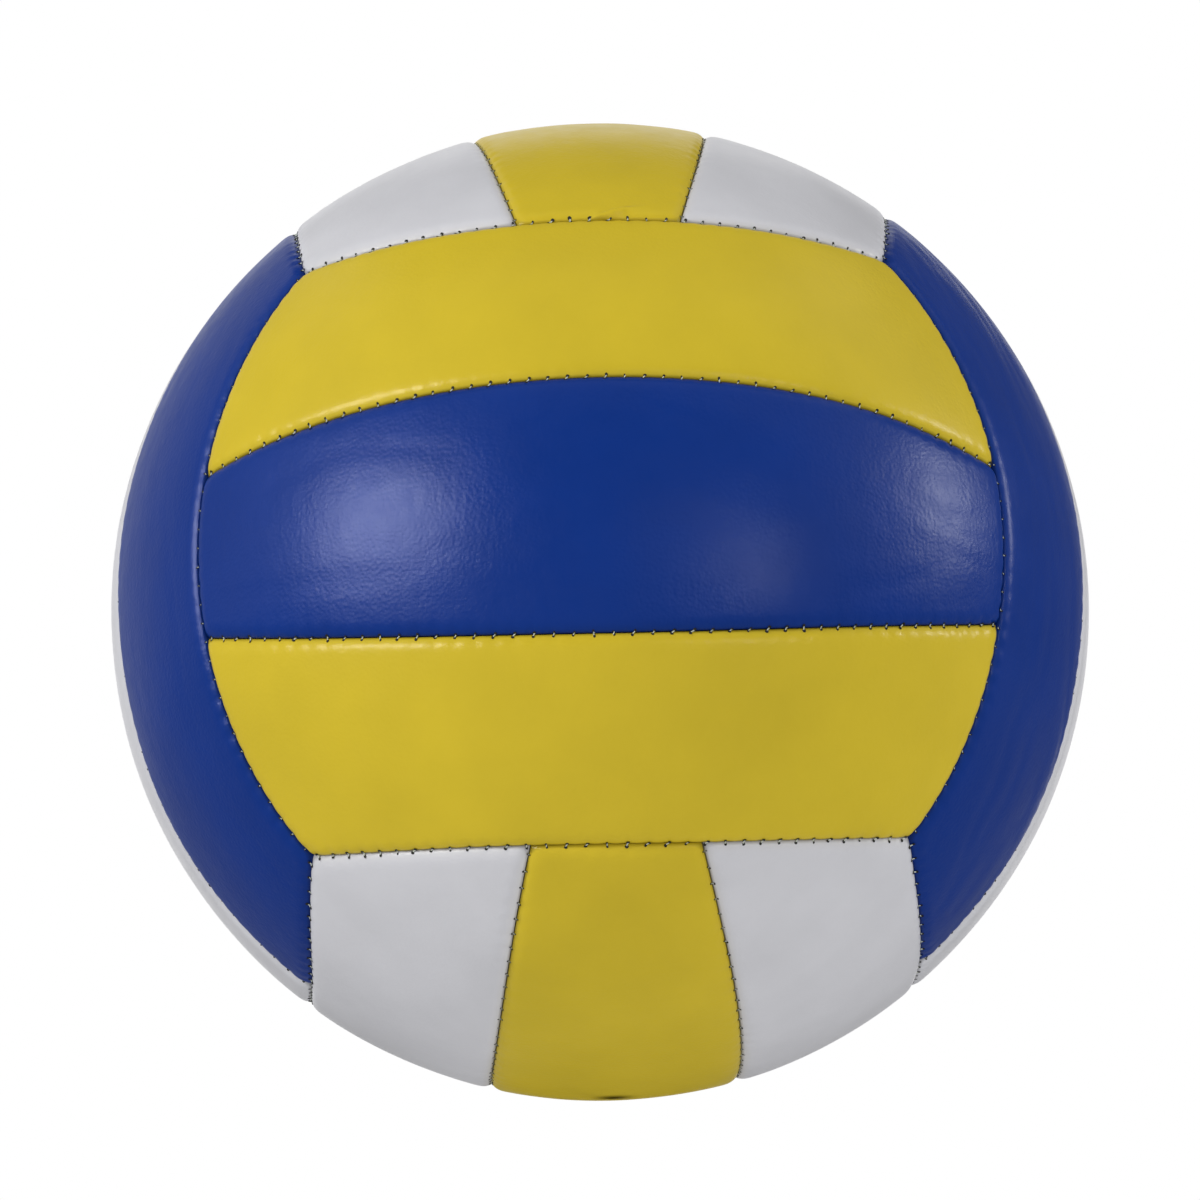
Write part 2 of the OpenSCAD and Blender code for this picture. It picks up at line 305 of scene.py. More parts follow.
# hand sewing pulls the seams a little off the even layout, most on the front
sewnOff = {
    "fadesFrom": 0.8,        # towards the back the seams lie evenly
    "oval": (0.00368, 0.0014, 0.00153, 0.00284, 0.00031),   # stretch and shear of the whole ball
    "waves": (0.00158, -0.00163, -0.00188, -0.00179, -0.00121, 0.001, 0.00213),   # slow swings
    "reach": 0.28,           # how far a tug reaches
    "tugs": {
        # place on a ball of radius 1: how far a seam near it is pulled
        (0.775, -0.608, -0.172): (0.00450, 0.00411, 0.00577),
        (0.794, -0.580, 0.185): (-0.00402, -0.00065, 0.01517),
        (-0.586, -0.544, -0.600): (0.00215, -0.00646, 0.00376),
        (0.549, -0.576, -0.606): (0.00123, -0.00280, 0.00378),
        (-0.587, -0.531, 0.611): (0.00666, -0.00467, 0.00234),
        (0.576, -0.486, 0.657): (-0.00651, -0.00189, 0.00430),
        (0.186, -0.747, 0.639): (-0.00835, -0.00372, -0.00192),
        (-0.225, -0.727, 0.649): (0.00523, 0.00012, 0.00195),
        (-0.216, -0.759, -0.614): (0.00701, 0.00021, -0.00272),
        (0.203, -0.757, -0.621): (-0.00325, -0.00302, 0.00262),
        (0.234, -0.477, -0.847): (-0.00556, -0.00062, -0.00119),
        (0.220, -0.493, 0.842): (-0.00758, -0.00031, 0.00180),
        (-0.563, -0.253, -0.787): (-0.01269, -0.00167, 0.00962),
        (0.574, -0.257, -0.777): (-0.01043, 0.00044, -0.00785),
        (-0.960, -0.200, 0.150): (-0.003, -0.020, 0.0),
        (-0.870, -0.210, -0.450): (-0.003, -0.040, 0.0),
        (0.960, -0.200, 0.150): (0.003, -0.028, 0.0),
        (0.870, -0.210, -0.450): (0.003, -0.040, 0.0),
    },
}


def faceTurn(face, side=1):
    turn, over = faces[face][:2]
    first = Euler([math.radians(a) for a in turn]).to_matrix()
    second = Matrix.Rotation(math.radians(over), 3, "Y")
    third = Matrix.Rotation(0 if side >= 0 else math.pi, 3, "Z")
    return first @ second @ third


def sewnPull(x, y, z):
    # how far a place on a ball of radius 1 lies off the even layout; works on numbers and on rules
    a, b, c, d, e = sewnOff["oval"]
    f, g, h, i, j, k, m = sewnOff["waves"]
    xx, yy, zz, xy, yz, xz = x * x, y * y, z * z, x * y, y * z, x * z
    alongX = (x * a + y * c + z * d - xy * (6 * f) + (yy * 4 - xx * 3 - zz) * g - xz * (2 * h)
              + yz * i + xy * (2 * j) + (xx - zz) * (3 * k) + xz * (6 * m))
    alongY = (x * c + y * b + z * e + (yy * 2 - xx - zz) * (3 * f) + xy * (8 * g) + yz * (8 * h)
              + xz * i + (xx - zz) * j)
    alongZ = (x * d + y * e - z * (a + b) - yz * (6 * f) - xz * (2 * g) + (yy * 4 - xx - zz * 3) * h
              + xy * i - yz * (2 * j) - xz * (6 * k) + (xx - zz) * (3 * m))
    fall = math.exp(-1 / sewnOff["reach"] ** 2)
    for at, pull in sewnOff["tugs"].items():
        dx, dy, dz = x - at[0], y - at[1], z - at[2]
        near = power(fall, dx * dx + dy * dy + dz * dz)
        alongX = alongX + near * pull[0]
        alongY = alongY + near * pull[1]
        alongZ = alongZ + near * pull[2]
    return alongX, alongY, alongZ


def sewnPlace(direction):
    fade = min(max(sewnOff["fadesFrom"] - direction.y, 0.0), 1.0)
    return (direction - Vector(sewnPull(*direction)) * fade).normalized()


# node tree helpers
class Rule:
    # one number in a node tree, so that a shape's rule reads as a sum
    def __init__(self, tree, socket):
        self.tree, self.socket = tree, socket

    def done(self, operation, *others):
        node = self.tree.nodes.new("ShaderNodeMath")
        node.operation = operation
        for slot, value in zip(node.inputs, (self,) + others):
            if isinstance(value, Rule):
                self.tree.links.new(value.socket, slot)
            else:
                slot.default_value = value
        return Rule(self.tree, node.outputs[0])

    def __add__(self, other): return self.done("ADD", other)
    def __sub__(self, other): return self.done("SUBTRACT", other)
    def __mul__(self, other): return self.done("MULTIPLY", other)
    def __truediv__(self, other): return self.done("DIVIDE", other)
    def __neg__(self): return self.done("MULTIPLY", -1)
    def __rsub__(self, other): return (-self) + other
    def __rpow__(self, other): return (self * math.log(other)).done("EXPONENT")


def sine(x): return x.done("SINE")
def cosine(x): return x.done("COSINE")
def arcSine(x): return x.done("ARCSINE")
def arcCosine(x): return x.done("ARCCOSINE")
def angleOf(y, x): return y.done("ARCTAN2", x)
def root(x): return x.done("MAXIMUM", 0.0).done("SQRT")
def lesser(x, y): return x.done("MINIMUM", y)
def greater(x, y): return x.done("MAXIMUM", y)
def size(x): return x.done("ABSOLUTE")
def power(x, n): return x.done("POWER", n) if isinstance(x, Rule) else x ** n
def bell(x): return (-(x * x)).done("EXPONENT")
def between(x, y, share): return x + (y - x) * share
def roundedLesser(x, y, width): return x.done("SMOOTH_MIN", y, width)


def joined(tree, *values):
    # three numbers or rules as one vector
    node = tree.nodes.new("ShaderNodeCombineXYZ")
    for slot, value in zip(node.inputs, values):
        if isinstance(value, Rule):
            tree.links.new(value.socket, slot)
        else:
            slot.default_value = value
    return node.outputs[0]


def split(tree, vector):
    node = tree.nodes.new("ShaderNodeSeparateXYZ")
    tree.links.new(vector, node.inputs[0])
    return [Rule(tree, node.outputs[i]) for i in range(3)]


socketKinds = {float: "NodeSocketFloat", int: "NodeSocketInt", tuple: "NodeSocketVector",
               bpy.types.Material: "NodeSocketMaterial"}


def newTree(name, inputs):
    # each input has a name and a first value, which gives its kind
    tree = bpy.data.node_groups.new(name, "GeometryNodeTree")
    tree.interface.new_socket("Geometry", in_out="INPUT", socket_type="NodeSocketGeometry")
    for label, value in inputs.items():
        socket = tree.interface.new_socket(label, in_out="INPUT", socket_type=socketKinds[type(value)])
        socket.default_value = value
    tree.interface.new_socket("Geometry", in_out="OUTPUT", socket_type="NodeSocketGeometry")
    start = tree.nodes.new("NodeGroupInput")
    end = tree.nodes.new("NodeGroupOutput")
    return tree, start, end


def finishTree(tree, start, end, geometry):
    # plain geometry with its material
    solid = tree.nodes.new("GeometryNodeRealizeInstances")
    tree.links.new(geometry, solid.inputs[0])
    dress = tree.nodes.new("GeometryNodeSetMaterial")
    tree.links.new(solid.outputs[0], dress.inputs["Geometry"])
    tree.links.new(start.outputs["Material"], dress.inputs["Material"])
    tree.links.new(dress.outputs[0], end.inputs[0])


def applyTree(obj, tree, values):
    # runs the tree on the object with these inputs and gives back a plain mesh
    modifier = obj.modifiers.new(tree.name, "NODES")
    modifier.node_group = tree
    sockets = {s.name: s.identifier for s in tree.interface.items_tree if s.in_out == "INPUT"}
    for label, value in values.items():
        modifier[sockets[label]] = value
    shaped = obj.evaluated_get(bpy.context.evaluated_depsgraph_get())
    mesh = bpy.data.meshes.new_from_object(shaped)
    obj.modifiers.remove(modifier)
    return mesh


def newPiece(name, mesh):
    piece = bpy.data.objects.new(name, mesh)
    bpy.context.scene.collection.objects.link(piece)
    return piece


# panels
panel = {
    "cellsAcross": 60,
    "cellsAlong": 236,
    "closerAcross": 0.6,     # how much closer the mesh lines lie beside the seams
    "closerAlong": 0.3,
    "corrections": 5,        # a strip's length changes across it, and its width along it
    "cornerRound": 0.0034,
    "foldWidth": 0.0032,     # of the folded edge
    "foldSlope": 0.0006,     # width of the step from the folded edge to the underside of the skin
    "puckerDepth": 0.00022,
    "puckerWidth": 0.0017,
    "puckerPlace": 0.0008,   # from the seam to where a pucker is deepest
    "puckerPower": 1.5,      # how narrow the puckers are along the seam
    # strength of the puckers: how fast it changes, its spread, what is taken off, its lowest value
    "puckerChange": (6.0, 3.2, 1.0, 0.25),
    "insideFrom": 0.008,     # from the seam to where waves and creases are at their full depth
    "waveDepth": 0.00022,    # slow unevenness of the padding
    "waveScale": 2.8,
    "creaseDepth": 0.00002,
    "creaseScale": 7.0,
    "creaseStretch": (1.0, 0.35),    # across the strip, along it
    "creaseNarrow": 9,
    "seedStep": 7.3,         # sets one panel's chance apart from the next one's
    "deeperCreases": {
        # face and strip: depth
        ("right", -1): 0.00020,
        ("front", 0): 0.00008,
        ("left", 1): 0.00005,
        ("top", 0): 0.00005,
    },
}
valve = {
    "panel": ("back", 0),
    "holeRadius": 0.00435,
    "holeSides": 64,
    "cutDepth": 0.02,
    "dip": 0.0005,           # depth of the hollow round the hole
    "dipWidth": 0.0022,
}

# where the last stitches of the cover were drawn tight
closing = {
    "panel": ("top", 0),
    "at": 0.0018,            # from the middle of the seam
    "fold": 0.0011,          # height of the small fold
    "foldRun": 2.4,          # how far it runs along the seam for its way into the panel
    "foldWidth": 0.0015,
    "foldFrom": 0.001,       # from the seam to where the fold has that place along it
    "foldTop": 0.0014,       # from the seam to where the fold is highest
    "seam": ("face", "front", -1),
    "stitches": (17, 18),    # in that seam, their holes drawn wide
    "wider": 1.4,
}


def makePanelTree(inputs):
    tree, start, end = newTree("panelShape", inputs)
    nodes, links = tree.nodes, tree.links

    def given(label): return Rule(tree, start.outputs[label])

    def noiseOver(vector, scale, detail, seed):
        texture = nodes.new("ShaderNodeTexNoise")
        texture.noise_dimensions = "4D"
        texture.inputs["Detail"].default_value = detail
        links.new(vector, texture.inputs["Vector"])
        if isinstance(scale, Rule):
            links.new(scale.socket, texture.inputs["Scale"])
        else:
            texture.inputs["Scale"].default_value = scale
        links.new(seed.socket, texture.inputs["W"])
        return Rule(tree, texture.outputs[0])

    radius, outer = given("Radius"), given("Outer strip")
    degree = math.pi / 180
    stripAngle, lean = given("Strip seam angle") * degree, given("Seam lean") * degree
    half = given("Seam half angle") * degree

    block = nodes.new("GeometryNodeMeshCube")
    block.inputs["Size"].default_value = (1, 1, 1)
    block.inputs["Vertices Z"].default_value = 2
    links.new(start.outputs["Lines across"], block.inputs["Vertices X"])
    links.new(start.outputs["Lines along"], block.inputs["Vertices Y"])
    blockPlace = nodes.new("GeometryNodeInputPosition")
    u, v, w = (c + 0.5 for c in split(tree, blockPlace.outputs[0]))

    # mesh lines lie closer beside the seams, and the first ones half a seam gap from them
    circle = 2 * math.pi
    margin = given("Seam gap") / radius * 0.5
    u = u - sine(u * circle) * given("Closer across") / circle
    v = v - sine(v * circle) * given("Closer along") / circle
    nearAngle = stripAngle * (outer * 2 - 1)
    roundAngle = nearAngle + stripAngle * 2 * u
    cosHalf, sinHalf = cosine(half), sine(half)
    for _ in range(panel["corrections"]):
        x = cosine(roundAngle) * cosine(lean)
        endAngle = arcCosine(cosHalf / root(x * x + power(sine(lean), 2)))
        endAngle = endAngle - angleOf(sine(lean), x) - margin
        alongAngle = (v * 2 - 1) * endAngle
        outerFar = lean + arcSine(cosHalf / cosine(alongAngle))
        farAngle = between(stripAngle, outerFar, outer)
        inset = margin / cosine(alongAngle)
        roundAngle = between(nearAngle + inset, farAngle - inset, u)

    sinA, cosA, sinB, cosB = sine(roundAngle), cosine(roundAngle), sine(alongAngle), cosine(alongAngle)
    dx, dy, dz = cosB * sinA, sinB, cosB * cosA

    # distances from the four seams, along the ball
    fromNear = arcSine(cosB * sine(roundAngle - nearAngle)) * radius
    fromStripFar = arcSine(cosB * sine(stripAngle - roundAngle)) * radius
    fromFaceFar = (arcCosine(dx * cosine(lean) - dz * sine(lean)) - half) * radius
    fromFar = between(fromStripFar, fromFaceFar, outer)
    fromEnd = (half - arcCosine(dz * cosine(lean) - dy * sine(lean))) * radius
    fromStart = (half - arcCosine(dz * cosine(lean) + dy * sine(lean))) * radius
    nearestEnd = lesser(fromEnd, fromStart)
    corner = given("Corner round")
    distance = roundedLesser(roundedLesser(fromNear, fromFar, corner), nearestEnd, corner)

    # the skin rolls down into the seam
    reach = greater(1 - distance / given("Shoulder"), 0.0)
    drop = power(reach, given("Edge power")) * given("Groove depth")

    # each stitch draws the skin in beside its seam
    x = cosine(stripAngle) * cosine(lean)
    stripRun = arcCosine(cosHalf / root(power(x, 2) + power(sine(lean), 2)))
    stripRun = stripRun - angleOf(sine(lean), x)
    faceRun = arcSine(power(sinHalf, -1.0) / math.sqrt(3))
    faceAlong = angleOf(dy, cosB * cosine(roundAngle - lean))
    endAlong = angleOf(dx, size(dy) * cosine(lean) + dz * sine(lean))

    scale, spread, less, lowest = panel["puckerChange"]
    chance = noiseOver(joined(tree, dx, dy, dz), scale, detail=1.0, seed=given("Seed"))
    strength = greater(chance * spread - less, lowest)

    def stitchPull(away, along, run, count):
        # 1 at each of the seam's stitches, 0 half way between two of them
        phase = (along / run * count + 1.0 + count) * math.pi
        pull = power(cosine(phase) * 0.5 + 0.5, panel["puckerPower"])
        return pull * bell((away - panel["puckerPlace"]) / given("Pucker width"))

    stripCount, faceCount = given("Strip stitches"), given("Face stitches")
    pucker = stitchPull(fromNear, alongAngle, stripRun, stripCount)
    pucker = pucker + stitchPull(fromStripFar, alongAngle, stripRun, stripCount) * (1 - outer)
    pucker = pucker + stitchPull(fromFaceFar, faceAlong, faceRun, faceCount) * outer
    pucker = pucker + stitchPull(nearestEnd, endAlong, faceRun, faceCount)
    pucker = pucker * strength * given("Pucker depth")

    # slow unevenness of the padding, and long soft creases in the skin
    def unevenness(scale, stretch, detail, shift):
        spot = joined(tree, roundAngle * stretch[0], alongAngle * stretch[1], 0.0)
        return noiseOver(spot, scale, detail, given("Seed") + shift) - 0.5

    inside = lesser(distance / panel["insideFrom"], 1.0)
    wave = unevenness(given("Wave scale"), (1.0, 1.0), detail=0.0, shift=3.0)
    wave = wave * given("Wave depth") * inside * 2
    ridge = size(unevenness(panel["creaseScale"], panel["creaseStretch"], detail=1.0, shift=9.0))
    crease = greater(1 - ridge * panel["creaseNarrow"], 0.0) * given("Crease depth") * inside

    # the hollow round the valve, and the small fold at the closing stitches
    fromValve = root(dx * dx + dy * dy) * radius
    dip = bell((fromValve - given("Valve radius")) / valve["dipWidth"]) * given("Valve dip")
    foldAway = dx * radius - given("Closing place") - (fromStart - closing["foldFrom"]) * closing["foldRun"]
    fold = bell(foldAway / closing["foldWidth"])
    fold = fold * bell((fromStart - closing["foldTop"]) / closing["foldWidth"]) * given("Closing fold")

    top = radius - drop - pucker + wave - crease - dip + fold
    folded = lesser(greater((distance - given("Fold width")) / panel["foldSlope"], 0.0), 1.0)
    under = between(given("Foot radius"), radius - given("Skin"), folded)
    height = between(under, top, w)

    # turned to its face, and pulled as the sewing pulls it
    turned = nodes.new("ShaderNodeVectorRotate")
    turned.rotation_type = "EULER_XYZ"
    links.new(joined(tree, dx, dy, dz), turned.inputs["Vector"])
    links.new(start.outputs["Turn"], turned.inputs["Rotation"])
    x, y, z = split(tree, turned.outputs[0])
    fade = lesser(greater(sewnOff["fadesFrom"] - y, 0.0), 1.0)
    pulledX, pulledY, pulledZ = (c - pull * fade for c, pull in zip((x, y, z), sewnPull(x, y, z)))
    scale = height / root(pulledX * pulledX + pulledY * pulledY + pulledZ * pulledZ)

    # the distance from the seam, which the skins read for their painted groove shade
    store = nodes.new("GeometryNodeStoreNamedAttribute")
    store.data_type, store.domain = "FLOAT", "POINT"
    store.inputs["Name"].default_value = "seamDistance"
    links.new(block.outputs["Mesh"], store.inputs["Geometry"])
    links.new((distance * w).socket, store.inputs["Value"])
    place = nodes.new("GeometryNodeSetPosition")
    links.new(store.outputs[0], place.inputs["Geometry"])
    links.new(joined(tree, pulledX * scale, pulledY * scale, pulledZ * scale), place.inputs["Position"])
    smooth = nodes.new("GeometryNodeSetShadeSmooth")
    links.new(place.outputs[0], smooth.inputs["Geometry"])
    finishTree(tree, start, end, smooth.outputs[0])
    return tree


# materials
def newMaterial(name):
    material, nodes, links, out = emptyMaterial(name)
    shader = nodes.new("ShaderNodeBsdfPrincipled")
    links.new(shader.outputs[0], out.inputs["Surface"])
    where = nodes.new("ShaderNodeTexCoord")
    return material, nodes, links, shader, where.outputs["Object"]


def bumped(nodes, links, height, depth):
    bump = nodes.new("ShaderNodeBump")
    bump.inputs["Strength"].default_value = 1.0
    bump.inputs["Distance"].default_value = depth
    links.new(height, bump.inputs["Height"])
    return bump


skinColours = {
    "yellow": (0.705, 0.530, 0.028),
    "blue": (0.002, 0.033, 0.2455),
    "white": (0.72, 0.72, 0.758),
}
skin = {
    "gloss": 0.17,           # specular level: a dull coated skin
    "roughness": 0.31,
    "roughnessChange": 0.06,
    "roughnessSize": 0.004,  # of its patches
    "toneSize": 0.02,
    "paler": 1.04,           # lightest and darkest tone of the body, for its own colour
    "deeper": 0.96,
    "noiseReach": (0.3, 0.7),        # between which most of a noise lies
    "grainSize": 0.0007,
    "grainDepth": 0.000035,
    "wrinkleSize": 0.0022,
    "wrinkleStretch": (1.0, 1.0, 0.45),
    "wrinkleDepth": 0.00006,
    # painted shade: the skin's colour is darkened in the seams' grooves
    "paintedGrooveShadeWidth": 0.0006,   # how far the painted shade of a seam reaches
    "paintedGrooveShade": 0.50,
    "paintedGrooveShadeTone": 0.25,      # of the painted shade in a seam, for the skin's colour
}


def makeSkin(name, colour, s):
    material, nodes, links, shader, place = newMaterial(name)

    def noise(size, detail, stretch=(1, 1, 1)):
        mapping = nodes.new("ShaderNodeMapping")
        mapping.inputs["Scale"].default_value = [c / size for c in stretch]
        texture = nodes.new("ShaderNodeTexNoise")
        texture.inputs["Scale"].default_value = 1.0
        texture.inputs["Detail"].default_value = detail
        links.new(place, mapping.inputs["Vector"])
        links.new(mapping.outputs[0], texture.inputs["Vector"])
        return texture.outputs[0]

    tone = ranged(nodes, links, noise(s["toneSize"], detail=3.0), s["noiseReach"], (0.0, 1.0))
    paler = tuple(min(1.0, c * s["paler"]) for c in colour)
    deeper = tuple(c * s["deeper"] for c in colour)
    body = mixed(nodes, links, tone, deeper, paler)
    away = nodes.new("ShaderNodeAttribute")
    away.attribute_name = "seamDistance"
    # painted shade: the colour darkens towards the seam, where the groove's shade falls
    groove = ranged(nodes, links, away.outputs["Fac"], (0.0, s["paintedGrooveShadeWidth"]), (s["paintedGrooveShade"], 0.0))
    shade = tuple(c * s["paintedGrooveShadeTone"] for c in colour)
    links.new(mixed(nodes, links, groove, body, shade), shader.inputs["Base Color"])
    change = s["roughnessChange"] / 2
    reach = (s["roughness"] - change, s["roughness"] + change)
    rough = ranged(nodes, links, noise(s["roughnessSize"], detail=3.0), s["noiseReach"], reach)
    links.new(rough, shader.inputs["Roughness"])
    shader.inputs["Specular IOR Level"].default_value = s["gloss"]
    grain = nodes.new("ShaderNodeTexVoronoi")
    grain.feature = "SMOOTH_F1"
    grain.inputs["Scale"].default_value = 1 / s["grainSize"]
    links.new(place, grain.inputs["Vector"])
    pores = bumped(nodes, links, grain.outputs["Distance"], s["grainDepth"])
    creases = noise(s["wrinkleSize"], detail=4.0, stretch=s["wrinkleStretch"])
    wrinkles = bumped(nodes, links, creases, s["wrinkleDepth"])
    links.new(pores.outputs[0], wrinkles.inputs["Normal"])
    links.new(wrinkles.outputs[0], shader.inputs["Normal"])
    return material


skins = {name: makeSkin(name + "Skin", colour, skin) for name, colour in skinColours.items()}

insides = {
    # material: deeper colour, paler colour, roughness, size of the grain, its depth
    "foam": ((0.70, 0.66, 0.55), (0.84, 0.81, 0.71), 0.9, 0.0008, 0.0001),
    "cloth": ((0.60, 0.58, 0.52), (0.80, 0.78, 0.73), 0.85, 0.0006, 0.0001),
    "thread": ((0.50, 0.56, 0.46), (0.84, 0.88, 0.80), 0.7, 0.0003, 0.00005),
    "bladder_rubber": ((0.022, 0.022, 0.022), (0.040, 0.040, 0.040), 0.55, 0.003, 0.00004),
    "valve_rubber": ((0.014, 0.014, 0.015), (0.030, 0.030, 0.032), 0.5, 0.0005, 0.00002),
    "plug_rubber": ((0.040, 0.040, 0.044), (0.065, 0.065, 0.070), 0.45, 0.0004, 0.00002),
    # needle_hole: near-black, painted shade of the needle holes
    "needle_hole": ((0.006, 0.006, 0.005), (0.022, 0.021, 0.017), 0.9, 0.0003, 0.00001),
}


def makeInside(name, deeper, paler, roughness, grainSize, grainDepth):
    material, nodes, links, shader, place = newMaterial(name)
    grain = nodes.new("ShaderNodeTexNoise")
    grain.inputs["Scale"].default_value = 1 / grainSize
    grain.inputs["Detail"].default_value = 3.0
    links.new(place, grain.inputs["Vector"])
    links.new(mixed(nodes, links, grain.outputs[0], deeper, paler), shader.inputs["Base Color"])
    links.new(bumped(nodes, links, grain.outputs[0], grainDepth).outputs[0], shader.inputs["Normal"])
    shader.inputs["Roughness"].default_value = roughness
    return material


insideMaterials = {name: makeInside(name, *values) for name, values in insides.items()}
slots = {s["node"]: s["material_slot"] for s in frame["record"]["subparts"]}
for name, node in frame["nodes"].items():
    if slots[name] in insideMaterials:
        node.data.materials.clear()
        node.data.materials.append(insideMaterials[slots[name]])
print("materials made")

# the panels themselves
panelInputs = {
    "Radius": ball["radius"],
    "Strip seam angle": ball["stripSeamAngle"],
    "Seam lean": ball["lean"],
    "Seam half angle": halfAngle,
    "Shoulder": ball["shoulder"],
    "Groove depth": ball["grooveDepth"],
    "Edge power": ball["edgePower"],
    "Seam gap": ball["seamGap"],
    "Foot radius": ball["footRadius"],
    "Skin": ball["skin"],
    "Fold width": panel["foldWidth"],
    "Corner round": panel["cornerRound"],
    "Strip stitches": float(ball["stripStitches"]),
    "Face stitches": float(ball["faceStitches"]),
    "Pucker depth": panel["puckerDepth"],
    "Pucker width": panel["puckerWidth"],
    "Wave depth": panel["waveDepth"],
    "Wave scale": panel["waveScale"],
    "Valve radius": valve["holeRadius"],
    "Closing place": closing["at"],
    "Closer across": panel["closerAcross"],
    "Closer along": panel["closerAlong"],
    "Lines across": panel["cellsAcross"] + 1,
    "Lines along": panel["cellsAlong"] + 1,
    # these differ from panel to panel
    "Outer strip": 0.0,
    "Crease depth": panel["creaseDepth"],
    "Valve dip": 0.0,
    "Closing fold": 0.0,
    "Turn": (0.0, 0.0, 0.0),
    "Seed": 0.0,
    "Material": skins["yellow"],
}
panelTree = makePanelTree(panelInputs)


def makePanel(face, k, number):
    seed = newPiece("seed", bpy.data.meshes.new("seed"))
    colour = faces[face][4] if k == 0 else faces[face][3]
    mesh = applyTree(seed, panelTree, {
        **panelInputs,
        "Outer strip": float(abs(k)),
        "Crease depth": panel["deeperCreases"].get((face, k), panel["creaseDepth"]),
        "Valve dip": valve["dip"] if (face, k) == valve["panel"] else 0.0,
        "Closing fold": closing["fold"] if (face, k) == closing["panel"] else 0.0,
        "Turn": tuple(faceTurn(face, k).to_euler()),
        "Seed": number * panel["seedStep"],
        "Material": skins[colour],
    })
    bpy.data.objects.remove(seed)
    name = f"{face}_{faces[face][2][k + 1]}"
    piece = newPiece(name + "_panel", mesh)
    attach(piece, "root")
    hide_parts(name + "_cover")
    colour + "_skin"
    return piece


def cutValveHole(piece, s):
    bpy.ops.mesh.primitive_cylinder_add(
        vertices=s["holeSides"], radius=s["holeRadius"], depth=s["cutDepth"],
        location=(0, ball["radius"], 0), rotation=(math.pi / 2, 0, 0))
    cutter = bpy.context.object
    cut = piece.modifiers.new("valveHole", "BOOLEAN")
    cut.object, cut.operation, cut.solver = cutter, "DIFFERENCE", "EXACT"
    mesh = bpy.data.meshes.new_from_object(piece.evaluated_get(bpy.context.evaluated_depsgraph_get()))
    piece.modifiers.remove(cut)
    piece.data = mesh
    bpy.data.objects.remove(cutter)


panels = {}
for number, (face, k) in enumerate((f, k) for f in faces for k in (-1, 0, 1)):
    panels[face, k] = makePanel(face, k, number)
cutValveHole(panels[valve["panel"]], valve)
print("panels made,", sum(len(p.data.polygons) for p in panels.values()), "faces")

# stitches
stitch = {
    "threadRadius": 0.00012,
    "threadSides": 6,
    "bowSteps": 5,
    "span": 0.0005,          # of the thread, across the seam
    "sag": 0.0001,
    "skew": 0.00035,         # along the seam, between the two ends
    "holeSpan": 0.0008,
    "holeRadius": 0.00032,
    "holeSides": 8,
    "holeDepth": 0.0001,
    "holeSink": 0.3,         # how deep the holes go down with the puckers
    "twist": 0.6,            # how unevenly they lie, radians
    "spread": 0.25,          # how uneven their sizes are
    "seed": 5,
    "tighter": 0.7,          # size of those drawn tight
    # faces whose seams of each kind have them
    "tight": {"strip": ("top", "bottom"), "face": ("left", "right")},
}


def edgeHeight(distance):
    # of the rolled edge above the bottom of the groove, this far from the seam
    share = 1 - distance / ball["shoulder"]
    return ball["grooveDepth"] * (1 - share ** ball["edgePower"])


def edgeTilt(distance):
    # of the rolled edge, in radians
    share = 1 - distance / ball["shoulder"]
    steepest = ball["edgePower"] * ball["grooveDepth"] / ball["shoulder"]
    return math.atan(steepest * share ** (ball["edgePower"] - 1))


def seamPoints(kind, count):
    # the places of the stitches of all seams of this kind, at the bottom of the groove
    lean, half, strip = (math.radians(a) for a in (ball["lean"], halfAngle, ball["stripSeamAngle"]))
    if kind == "strip":
        across = math.cos(strip) * math.cos(lean)
        run = math.acos(math.cos(half) / math.hypot(across, math.sin(lean)))
        run = run - math.atan2(math.sin(lean), across)
        middle, axis = Vector((math.sin(strip), 0, math.cos(strip))), Vector((0, 0, 0))
    else:
        run = math.asin(1 / math.sqrt(3) / math.sin(half))
        middle = Vector((math.sin(lean), 0, math.cos(lean))) * math.sin(half)
        axis = Vector((math.cos(lean), 0, -math.sin(lean))) * math.cos(half)

    def spot(turn, i):
        along = run * ((2 * i + 1) / count - 1)
        aside = Vector((0, middle.length * math.sin(along), 0))
        return sewnPlace(turn @ (axis + middle * math.cos(along) + aside))

    points, ways, sizes = [], [], []
    foot = ball["radius"] - ball["grooveDepth"]
    for face in faces:
        for side in (-1, 1):
            turn = faceTurn(face, side)
            common = stitch["tighter"] if face in stitch["tight"][kind] else 1.0
            wide = closing["stitches"] if (kind, face, side) == closing["seam"] else ()
            for i in range(count):
                points.append(spot(turn, i) * foot)
                ways.extend((spot(turn, i + 0.1) - spot(turn, i - 0.1)).normalized())
                sizes.append(closing["wider"] if i in wide else common)
    mesh = bpy.data.meshes.new(kind + "SeamPoints")
    mesh.from_pydata(points, [], [])
    mesh.attributes.new("alongSeam", "FLOAT_VECTOR", "POINT").data.foreach_set("vector", ways)
    mesh.attributes.new("stitchSize", "FLOAT", "POINT").data.foreach_set("value", sizes)
    return newPiece(kind + "SeamPoints", mesh)


